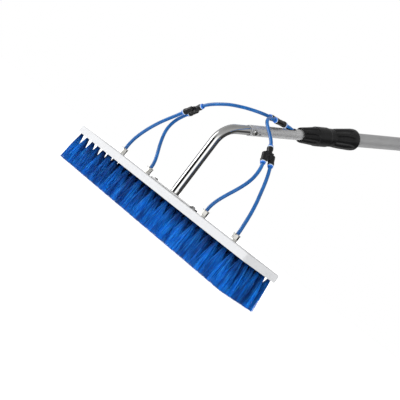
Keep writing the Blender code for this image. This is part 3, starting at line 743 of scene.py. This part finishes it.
def build_bristles(look):
    """Rows of tufts: filaments packed at the root that fan out and meet their neighbours."""
    span = (TUFTS_PER_ROW - 1) / 2 * TUFT_PITCH_X
    for row in range(TUFT_ROWS):
        rng = random.Random(100 + row)
        node = f"bristle_row_{row + 1}"
        low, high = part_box(node)
        middle = (low.y + high.y) / 2
        vertices, faces = [], []
        for column in range(TUFTS_PER_ROW):
            x = -span + column * TUFT_PITCH_X
            lean = Vector((rng.gauss(0, 0.0010), rng.gauss(0, 0.0008)))
            count = FILAMENTS * (2 if column in (0, TUFTS_PER_ROW - 1) else 1)
            room = [min(TUFT_FAN_X, abs(edge - x) - TUFT_ROOT - 0.001)
                    for edge in (low.x - TUFT_SPILL, high.x + TUFT_SPILL)]
            for _ in range(count):
                angle = rng.uniform(0, math.tau)
                share = math.sqrt(rng.random())
                out = Vector((math.cos(angle), math.sin(angle))) * share
                root = Vector((x + out.x * TUFT_ROOT, middle + out.y * TUFT_ROOT,
                               high.z + 0.0006))
                stray = STRAY_SPREAD if rng.random() < STRAY_SHARE else 1.0
                reach = room[out.x > 0]
                tip = Vector((root.x + out.x * reach + lean.x + rng.gauss(0, 0.0012) * stray,
                              root.y + out.y * TUFT_FAN_Y + lean.y + rng.gauss(0, 0.0010),
                              low.z + 0.0002 + abs(rng.gauss(0, 0.0004))))
                tip.x = min(max(tip.x, low.x - TUFT_SPILL), high.x + TUFT_SPILL)
                bow = Vector((rng.gauss(0, 0.0004), rng.gauss(0, 0.0004)))
                filament(root, tip, bow, rng, vertices, faces)
        mesh = bpy.data.meshes.new(f"bristles_{row + 1}")
        mesh.from_pydata(vertices, [], faces)
        mesh.shade_smooth()
        show(f"bristle_tufts_{row + 1}", mesh, look, "head", [node])


def build_plate(look, screw_look):
    low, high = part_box("mounting_plate")
    outline = round_cornered(high.x, high.y, high.y - 1e-5, 16)
    mesh = prism("mounting_plate", outline, low.z, high.z)
    plate = show("plate", mesh, look, "head", ["mounting_plate"])
    add_bevel(plate, PLATE_BEVEL)
    for side in ("left", "right"):
        node = f"plate_screw_{side}"
        low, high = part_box(node)
        centre = (low + high) / 2
        radius = (high.x - low.x) / 2
        seat = high.z - 0.0031
        outline = [(0.0, low.z), (0.001, low.z), (0.0025, low.z + 0.0025), (0.0025, seat),
                   (radius, seat), (radius, seat + 0.0011), (radius * 0.80, seat + 0.0023),
                   (radius * 0.45, seat + 0.0030), (0.0, high.z)]
        mesh = turned("screw", softened(outline, 0.0005, ring=False), SMALL_SIDES, ring=False)
        depth = high.z - 0.0016
        arm, half = radius * 0.52, radius * 0.11
        cross = [box_mesh("arm", (-arm, -half, depth), (arm, half, high.z + 0.001)),
                 box_mesh("arm", (-half, -arm, depth), (half, arm, high.z + 0.001))]
        turn = Matrix.Rotation(math.radians(20 if side == "left" else 52), 4, "Z")
        place = Matrix.Translation((centre.x, centre.y, 0)) @ turn
        show(f"screw_{side}", combined(mesh, cross), screw_look, "head", [node], place)


def neck_stations(reach):
    """Centres and tangents down the gooseneck: upright, round the bend, then along the pole."""
    bend = Vector((0, 0, 1)).angle(POLE_ALONG)
    leg = NECK_BEND_RADIUS * math.tan(bend / 2)
    centre = POLE_START - Vector((0, 0, leg)) + Vector((0, NECK_BEND_RADIUS, 0))
    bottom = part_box("gooseneck_tube")[0].z
    stations = [(Vector((0, 0, bottom)), Vector((0, 0, 1)))]
    steps = 40
    for step in range(steps + 1):
        angle = bend * step / steps
        place = centre + NECK_BEND_RADIUS * Vector((0, -math.cos(angle), math.sin(angle)))
        stations.append((place, Vector((0, math.sin(angle), math.cos(angle)))))
    stations.append((POLE_START + POLE_ALONG * reach, POLE_ALONG))
    return stations


def build_gooseneck(look, bead_look):
    reach = along_pole("gooseneck_tube")[1]
    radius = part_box("gooseneck_tube")[1].x
    across = Vector((1, 0, 0))
    bm = bmesh.new()
    rings = []
    for place, tangent in neck_stations(reach):
        side = tangent.cross(across)
        pair = []
        for size in (radius, radius - NECK_WALL):
            turns = [math.tau * step / FINE_SIDES for step in range(FINE_SIDES)]
            pair.append([bm.verts.new(place + size * (math.cos(a) * across + math.sin(a) * side))
                         for a in turns])
        rings.append(pair)
    bands = [(rings[i][k], rings[i + 1][k]) for i in range(len(rings) - 1) for k in (0, 1)]
    bands += [(rings[0][0], rings[0][1]), (rings[-1][0], rings[-1][1])]
    for low, high in bands:
        for i in range(FINE_SIDES):
            j = (i + 1) % FINE_SIDES
            bm.faces.new((low[i], low[j], high[j], high[i]))
    show("gooseneck", mesh_from(bm, "gooseneck"), look, "head", ["gooseneck_tube"])
    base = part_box("mounting_plate")[1].z
    outline = [(radius - 0.0004, base), (radius + 0.0013, base), (radius + 0.0011, base + 0.0006),
               (radius + 0.0005, base + 0.0011), (radius - 0.0004, base + 0.0014)]
    mesh = turned("weld", softened(outline, 0.0004), WELD_SIDES)
    for vertex in mesh.vertices:
        angle = math.atan2(vertex.co.y, vertex.co.x)
        wide = math.hypot(vertex.co.x, vertex.co.y)
        if wide > radius + 0.0002:
            swell = 1 + 0.00015 / wide * math.sin(32 * angle + 5 * (vertex.co.z - base) / 0.0014)
            vertex.co.x *= swell
            vertex.co.y *= swell
    show("gooseneck_weld", mesh, bead_look, "head")


# Pole


def stadium_tool(name, margin, low, high):
    """A slot-shaped prism above the pole's upper side, shrunk by a margin all round."""
    start, end = SLOT_SPAN
    half = SLOT_WIDTH / 2 - margin
    mesh = prism(name, round_cornered((end - start) / 2 - margin, half, half - 1e-5, 12), low, high)
    lay = Matrix(((0, 1, 0), (0, 0, -1), (-1, 0, 0))).to_4x4()
    mesh.transform(Matrix.Translation((0, 0, (start + end) / 2)) @ lay)
    return mesh


def tube_mesh(node):
    start, end, radius = along_pole(node)
    outline = [(radius, start), (radius, end), (radius - TUBE_WALL, end),
               (radius - TUBE_WALL, start)]
    return turned(node, softened(outline, 0.0004))


def build_tubes(looks):
    inner = combined(tube_mesh("inner_tube"), [stadium_tool("slot", 0.0, 0.004, 0.016)])
    show("inner_section_tube", inner, looks["inner"], "head", ["inner_tube"], POLE)
    for part in ("middle", "outer"):
        node = f"{part}_tube"
        show(f"{part}_section_tube", tube_mesh(node), looks[part], f"{part}_section", [node],
             POLE)


def build_grommet(look):
    """A rubber edging: a round bead that follows the slot's rim over the tube."""
    start, end = SLOT_SPAN
    radius = along_pole("inner_tube")[2]
    rim = SLOT_WIDTH / 2 - 0.0008
    curve = bpy.data.curves.new("hose_grommet", "CURVE")
    curve.dimensions = "3D"
    curve.bevel_depth = 0.0010
    curve.bevel_resolution = 4
    line = curve.splines.new("POLY")
    outline = round_cornered((end - start) / 2 - 0.0008, rim, rim - 1e-5, 12)
    line.points.add(len(outline) - 1)
    for spot, (lengthwise, sideways) in zip(line.points, outline):
        angle = sideways / radius
        spot.co = (radius * math.sin(angle), -radius * math.cos(angle),
                   (start + end) / 2 + lengthwise, 1.0)
    line.use_cyclic_u = True
    show("slot_grommet", curve, look, "head", ["hose_grommet"], POLE)


def build_head_fasteners(look):
    side = along_pole("inner_tube")[2] + GAP
    lay = Matrix.Rotation(math.pi / 2, 4, "Y")
    at_bolt = POLE @ Matrix.Translation((0, 0, BOLT_AT)) @ lay
    outline = [(0.0, -side - 0.0085), (0.0025, -side - 0.0085), (0.003, -side - 0.0078),
               (0.003, side), (0.0070, side), (0.0070, side + 0.0013), (0.0058, side + 0.0013),
               (0.0058, side + 0.0046), (0.0049, side + 0.0056), (0.0, side + 0.0058)]
    mesh = turned("bolt", softened(outline, 0.0004, ring=False), FINE_SIDES, ring=False)
    make_hexagonal(mesh, side + 0.00135, side + 0.0058, HEAD_HEX_FLAT, 0.0042)
    show("clamp_bolt", mesh, look, "head", ["head_bolt"], at_bolt)
    outline = [(0.0058, -side), (0.0058, -side - 0.0052), (0.0050, -side - 0.0062),
               (0.0033, -side - 0.0062), (0.0033, -side)]
    mesh = turned("nut", softened(outline, 0.0003), FINE_SIDES)
    make_hexagonal(mesh, -side - 0.0062, -side, HEAD_HEX_FLAT, 0.0042)
    show("clamp_nut", mesh, look, "head", ["head_bolt_nut"], at_bolt)
    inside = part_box("gooseneck_tube")[1].x - 0.004
    outline = [(0.0, inside), (0.002, inside), (0.002, side), (0.0034, side),
               (0.0031, side + 0.0009), (0.0016, side + 0.0014), (0.0010, side + 0.0013),
               (0.0008, side + 0.0006), (0.0, side + 0.0005)]
    mesh = turned("rivet", softened(outline, 0.0003, ring=False), SMALL_SIDES, ring=False)
    turn = Matrix.Rotation(RIVET_TURN, 4, "Z")
    at_rivet = POLE @ Matrix.Translation((0, 0, RIVET_AT)) @ turn @ lay
    show("pop_rivet", mesh, look, "head", ["head_rivet"], at_rivet)


def dense(outline, step):
    """Add points to an outline so that no run is longer than the step."""
    filled = []
    for index, here in enumerate(outline):
        there = outline[(index + 1) % len(outline)]
        length = math.dist(here, there)
        count = max(1, math.ceil(length / step))
        for part in range(count):
            t = part / count
            filled.append((here[0] + (there[0] - here[0]) * t, here[1] + (there[1] - here[1]) * t))
    return filled


def flute(mesh, start, end, inner_limit, slope):
    """Press round-ended grooves into the outer wall, with full ridges between them.

    The outer wall is what lies outside a cone: inner_limit at the start, widening by slope.
    """
    for vertex in mesh.vertices:
        radius = math.hypot(vertex.co.x, vertex.co.y)
        along = (vertex.co.z - start) / (end - start)
        if radius < inner_limit + slope * (vertex.co.z - start) or not 0.0 <= along <= 1.0:
            continue
        angle = math.atan2(vertex.co.y, vertex.co.x)
        offset = abs((FLUTES * angle / math.tau) % 1.0 - 0.5) * 2
        half_width = 0.66 * math.sqrt(max(0.0, 1.0 - max(0.0, (along - 0.45) / 0.55) ** 2))
        if half_width < 0.02 or offset >= half_width:
            continue
        rise = min(1.0, along / 0.05) * min(1.0, half_width / 0.5)
        press = FLUTE_DEPTH * rise * (1 - (offset / half_width) ** 2) ** 0.8
        vertex.co.x *= (radius - press) / radius
        vertex.co.y *= (radius - press) / radius


def build_locks(look):
    """The two twist collars: fluted towards the brush, with a smooth raised band behind."""
    outline = [(0.0166, 0.2365), (0.0178, 0.2378), (0.0188, 0.243), (0.0198, 0.254),
               (0.0210, 0.268), (0.0219, 0.280), (0.0222, 0.2835), (0.0233, 0.2855),
               (0.0235, 0.296), (0.0235, 0.322), (0.0231, 0.3245), (0.0222, 0.3262),
               (0.0219, 0.332), (0.0218, 0.3416), (0.0186, 0.3416), (0.0186, 0.262),
               (0.0134, 0.256), (0.0134, 0.2425), (0.0148, 0.2375)]
    mesh = turned("front_collar", dense(softened(outline, 0.0008), 0.0012), COLLAR_SIDES)
    flute(mesh, 0.2366, 0.283, 0.0156, 0.075)
    show("front_twist_collar", mesh, look, "front_lock", ["front_lock_collar"], POLE)
    outline = [(0.0200, 0.343), (0.0212, 0.3438), (0.0222, 0.348), (0.0232, 0.3545),
               (0.0247, 0.368), (0.0257, 0.384), (0.0263, 0.400), (0.0266, 0.409),
               (0.0264, 0.4155), (0.0257, 0.4196), (0.0245, 0.421), (0.0217, 0.421),
               (0.0217, 0.380), (0.0208, 0.356), (0.0156, 0.352), (0.0156, 0.343)]
    mesh = turned("rear_collar", dense(softened(outline, 0.0012), 0.0012), COLLAR_SIDES)
    flute(mesh, 0.3436, 0.404, 0.0210, 0.045)
    show("rear_twist_collar", mesh, look, "rear_lock", ["rear_lock_collar"], POLE)


def build_tail(cap_look, grip_look):
    start, end, radius = along_pole("hand_grip")
    bore = along_pole("outer_tube")[2] + GAP
    outline = [(bore, start), (radius - 0.0022, start), (radius - 0.0004, start + 0.003)]
    first, last = start + 0.006, end - 0.006
    for rib in range(GRIP_RIBS):
        low = first + (last - first) * rib / GRIP_RIBS
        high = first + (last - first) * (rib + 1) / GRIP_RIBS
        outline += [(radius, low + 0.0008), (radius, high - 0.0022),
                    (radius - 0.0011, high - 0.0014), (radius - 0.0011, high - 0.0006)]
    outline += [(radius, last + 0.0006), (radius - 0.0004, end - 0.003), (radius - 0.0022, end),
                (bore, end)]
    mesh = turned("hand_grip", softened(outline, 0.0008))
    show("rubber_grip", mesh, grip_look, "outer_section", ["hand_grip"], POLE)
    start, end, radius = along_pole("tail_cap")
    face = along_pole("outer_tube")[1] + GAP
    plug = along_pole("outer_tube")[2] - TUBE_WALL - GAP
    outline = [(plug, start), (plug, face), (radius, face), (radius, face + 0.0045),
               (radius - 0.0016, end), (0.0065, end), (0.0065, start)]
    mesh = turned("tail_cap", softened(outline, 0.0012))
    show("end_cap", mesh, cap_look, "outer_section", ["tail_cap"], POLE)


# Water system


def build_nozzles(look):
    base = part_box("brush_block")[1].z + GAP
    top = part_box("nozzle_nut_left_outer")[1].z
    corner = HEX_FLAT / 2 / math.cos(math.radians(30))
    body = [(0.0008, 0.0705), (0.0030, 0.0705), (0.0040, 0.0730), (0.0050, 0.0742), (0.0050, base),
            (corner * 0.93, base), (corner, base + 0.0006), (corner, base + 0.0028),
            (corner * 0.93, base + 0.0035), (0.0046, base + 0.0035), (0.0046, base + 0.0085),
            (0.0022, base + 0.0085), (0.0022, 0.0745)]
    body_mesh = turned("nozzle_body", softened(body, 0.0002), FINE_SIDES)
    make_hexagonal(body_mesh, base, base + 0.0035, HEX_FLAT, 0.0062)
    low = base + 0.0035 + GAP
    disc = top - 0.0012
    nut = [(corner * 0.92, low), (corner, low + 0.0007), (corner, disc - 0.0016),
           (corner * 0.91, disc - 0.0008), (0.0068, disc), (0.0084, disc), (0.0084, top),
           (0.0062, top), (0.0052, top - 0.0006), (0.0044, top - 0.0006), (0.0044, disc - 0.0040),
           (0.0050, disc - 0.0050), (0.0050, low)]
    nut_mesh = turned("nozzle_nut", softened(nut, 0.0002), FINE_SIDES)
    make_hexagonal(nut_mesh, low, disc - 0.0006, HEX_FLAT, 0.0062)
    for place, x in NOZZLE_X.items():
        turn = Matrix.Translation((x, 0, 0))
        show(f"jet_body_{place}", body_mesh, look, "head",
             [f"nozzle_body_{place}"], turn)
        turn = turn @ Matrix.Rotation(math.radians(NUT_TURNS[place]), 4, "Z")
        show(f"jet_nut_{place}", nut_mesh, look, "head",
             [f"nozzle_nut_{place}"], turn)


def y_body_mesh():
    """A moulded body with three banded barrels, a web between them and an eyelet through it."""
    face = COLLAR_LIP + COLLAR_TRAVEL + GAP
    far = Y_LENGTH - face
    half = Y_SPACING / 2
    barrel = Y_BARREL
    band = 0.0052
    inlet = [(0.0, face), (barrel, face), (barrel, face + band),
             (barrel - 0.0007, face + band + 0.0006), (barrel - 0.0007, 0.0215), (0.0, 0.0245)]
    body = turned("y_body", softened(inlet, 0.0006, ring=False), SMALL_SIDES, ring=False)
    outlet = [(0.0, 0.0190), (barrel - 0.0035, 0.0195), (barrel - 0.0007, 0.0225),
              (barrel - 0.0007, far - band - 0.0006), (barrel, far - band), (barrel, far),
              (0.0, far)]
    parts = []
    for x in (-half, half):
        mesh = turned("barrel", softened(outlet, 0.0006, ring=False), SMALL_SIDES, ring=False)
        mesh.transform(Matrix.Translation((x, 0.00001, 0)))
        parts.append(mesh)
    parts.append(box_mesh("web", (-half + 0.0003, -0.0046, 0.0168),
                          (half + 0.0002, 0.0045, 0.0362)))
    boss = turned("boss", softened([(0.0, -0.0056), (0.0031, -0.0056), (0.0031, 0.0056),
                                    (0.0, 0.0056)], 0.0005, ring=False), 32, ring=False)
    boss.transform(Matrix.Translation((0.00002, 0, 0.0306)) @ Matrix.Rotation(math.pi / 2, 4, "X"))
    parts.append(boss)
    body = combined(body, parts, "UNION")
    drills = []
    for x, mouth, way in ((0.0, face, 1), (-half, far, -1), (half, far, -1)):
        for radius, depth in ((0.0056, 0.006), (HOSE_RADIUS + 0.0004, 0.0125)):
            ends = sorted((mouth - way * 0.004, mouth + way * depth))
            drill = turned("drill", [(0.0, ends[0]), (radius, ends[0]), (radius, ends[1]),
                                     (0.0, ends[1])], SMALL_SIDES, ring=False)
            drill.transform(Matrix.Translation((x, 0, 0)))
            drills.append(drill)
    eyelet = turned("eyelet", [(0.0, -0.01), (0.0015, -0.01), (0.0015, 0.01), (0.0, 0.01)], 24,
                    ring=False)
    eyelet.transform(Matrix.Translation((0, 0, 0.0306)) @ Matrix.Rotation(math.pi / 2, 4, "X"))
    drills.append(eyelet)
    return combined(body, drills, bevel=0.0005)


def connector_matrix(name):
    place, along, across = Y_PLACES[name]
    z = Vector(along).normalized()
    x = (Vector(across) - Vector(across).dot(z) * z).normalized()
    turn = Matrix((x, z.cross(x), z)).transposed().to_4x4()
    return Matrix.Translation(place) @ turn


def build_connectors(body_look, collar_look):
    body_mesh = y_body_mesh()
    sleeve_end = COLLAR_LIP + COLLAR_TRAVEL + GAP + 0.0042
    collar = [(0.0060, -0.0022), (0.0062, 0.0008), (0.0068, 0.0010), (0.0068, COLLAR_LIP),
              (0.0052, COLLAR_LIP), (0.0052, sleeve_end), (0.0043, sleeve_end), (0.0043, -0.0026),
              (0.0054, -0.0026)]
    collar_mesh = turned("release_collar", softened(collar, 0.0003), SMALL_SIDES)
    half = Y_SPACING / 2
    ports = {"inlet": (0.0, 0.0), "outlet_a": (-half, Y_LENGTH), "outlet_b": (half, Y_LENGTH)}
    for name in Y_PLACES:
        stand = connector_matrix(name)
        show(f"{name}_connector", body_mesh, body_look, "head", [f"{name}_y_body"],
             stand)
        for mouth, (shift, height) in ports.items():
            place = stand @ Matrix.Translation((shift, 0, height))
            if height:
                place = place @ Matrix.Rotation(math.pi, 4, "X")
            show(f"{name}_{mouth}_ring", collar_mesh, collar_look, f"{name}_y_{mouth}_release",
                 [f"{name}_y_{mouth}_collar"], place)


def smooth_along(points, step):
    """Read the cubic B-spline that the points steer at an even step along it."""
    ends = [2 * points[0] - points[1], *points, 2 * points[-1] - points[-2]]
    fine = []
    for a, b, c, d in zip(ends, ends[1:], ends[2:], ends[3:]):
        for part in range(24):
            t = part / 24
            fine.append(((1 - t) ** 3 * a + (3 * t ** 3 - 6 * t * t + 4) * b
                         + (-3 * t ** 3 + 3 * t * t + 3 * t + 1) * c + t ** 3 * d) / 6)
    fine.append(points[-1])
    lengths = [0.0]
    for a, b in zip(fine, fine[1:]):
        lengths.append(lengths[-1] + (b - a).length)
    count = max(2, round(lengths[-1] / step))
    read, at = [], 0
    for index in range(count + 1):
        goal = lengths[-1] * index / count
        while at < len(fine) - 2 and lengths[at + 1] < goal:
            at += 1
        share = (goal - lengths[at]) / (lengths[at + 1] - lengths[at])
        read.append(fine[at].lerp(fine[at + 1], share))
    return read


def port(name, shift):
    """A connector port's face and the way its hose leaves. Shift is -1 or 1, or 0 for the inlet."""
    stand = connector_matrix(name)
    along = stand.to_3x3().col[2]
    if shift == 0:
        return stand.translation, -along
    return stand @ Vector((shift * Y_SPACING / 2, 0, Y_LENGTH)), along


def straight_end(face, way):
    """Points that hold a hose straight through a fitting, from inside it to just outside."""
    return [face - way * HOSE_GRIP, face - way * HOSE_GRIP / 2, face, face + way * HOSE_LEAD]


def hose_route(name):
    """The route's own points, led straight out of the fitting at each end."""
    if name == "hose_feed":
        free = [POLE_START + POLE_ALONG * s + POLE_UP * height for s, height in FEED_ROUTE]
        return [*straight_end(*port("main", 0)), *free]
    free = [Vector(point) for point in HOSE_ROUTES[name]]
    start = straight_end(*port(*HOSE_STARTS[name]))
    if name.startswith("hose_main"):
        end = straight_end(*port(name.rsplit("_", 1)[1], 0))
    else:
        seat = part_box("nozzle_body_left_outer")[1].z + 2 * GAP
        foot = Vector((NOZZLE_X[name.removeprefix("hose_")], 0, seat))
        face = foot + Vector((0, 0, HOSE_GRIP / 2))
        end = [foot, face, face + Vector((0, 0, HOSE_LEAD))]
    return [*start, *free, *reversed(end)]


def build_hoses(look):
    for name in ("hose_feed", *HOSE_ROUTES):
        points = smooth_along(hose_route(name), HOSE_STEP)
        curve = bpy.data.curves.new(name, "CURVE")
        curve.dimensions = "3D"
        curve.bevel_depth = HOSE_RADIUS
        curve.bevel_resolution = 10
        curve.use_fill_caps = True
        line = curve.splines.new("POLY")
        line.points.add(len(points) - 1)
        for spot, point in zip(line.points, points):
            spot.co = (*point, 1.0)
        line.use_smooth = True
        piece = show(name.replace("hose", "tube", 1), curve, look, "head", [name])


def dress_inner_pieces(sleeve_look, acetal_look):
    """CAD pieces that stay inside the locks and tubes keep their shape and get materials."""
    looks = {"front_lock_sleeve": sleeve_look, "rear_lock_sleeve": sleeve_look,
             "front_collet": acetal_look, "rear_collet": acetal_look,
             "inner_tube_guide": acetal_look, "middle_tube_guide": acetal_look}
    for node, look in looks.items():
        for place in frame["nodes"][node].material_slots:
            place.material = look


def main():
    place_camera()
    build_hoses(hose_material())
    place_floor()
    light_world()
    place_light("key", (-1.0, -1.3, 0.7), 1.0, 3.0)
    steel = metal("polished_steel", (0.80, 0.80, 0.79), 0.055, 1500.0, 0.000001)
    # The plate's steel is darker than bare steel: painted shade, standing in for the dark line
    # where the plate meets the block.
    plate_steel_painted_shade = metal("brushed_steel_painted_shade", (0.34, 0.34, 0.34), 0.24, 900.0, 0.00003, stretch=(0.02, 1, 1))
    bead = metal("weld_steel", (0.52, 0.51, 0.49), 0.32, 500.0, 0.00006, spots=0.25)
    bright = plated("fastener_steel", (0.62, 0.62, 0.61), 0.22)
    nickel = plated("nickel", (0.70, 0.69, 0.65), 0.24)
    tubes = {part: metal(f"anodised_{part}", colour, roughness, 1100.0, 0.00002, satin=satin)
             for part, (colour, roughness, satin) in ANODISED.items()}
    white = plastic("block_plastic", (0.60, 0.605, 0.615), 0.45, 1600.0, 0.00004, wear=1.05,
                    mottle=0.03, gloss=0.3)
    black = plastic("collar_plastic", (0.0045, 0.0045, 0.005), 0.30, 1500.0, 0.00004, coat=0.10,
                    wear=3.0, gloss=0.38)
    gloss = plastic("connector_plastic", (0.005, 0.005, 0.006), 0.22, 1800.0, 0.00003, coat=0.2,
                    wear=3.0, gloss=0.4)
    matt = plastic("sleeve_plastic", (0.020, 0.020, 0.022), 0.50, 1400.0, 0.00005, wear=2.0)
    ring = ring_material()
    acetal = plastic("acetal", (0.80, 0.80, 0.78), 0.40, 1500.0, 0.00003, wear=1.05)
    grip = rubber("grip_rubber", (0.018, 0.018, 0.018))
    build_block(white)
    build_bristles(filament_material())
    build_plate(plate_steel_painted_shade, bright)
    build_gooseneck(steel, bead)
    build_tubes(tubes)
    build_grommet(grip)
    build_head_fasteners(bright)
    build_locks(black)
    build_tail(matt, grip)
    build_nozzles(nickel)
    build_connectors(gloss, ring)
    dress_inner_pieces(matt, acetal)
    bpy.context.scene.view_settings.view_transform = "Standard"


main()
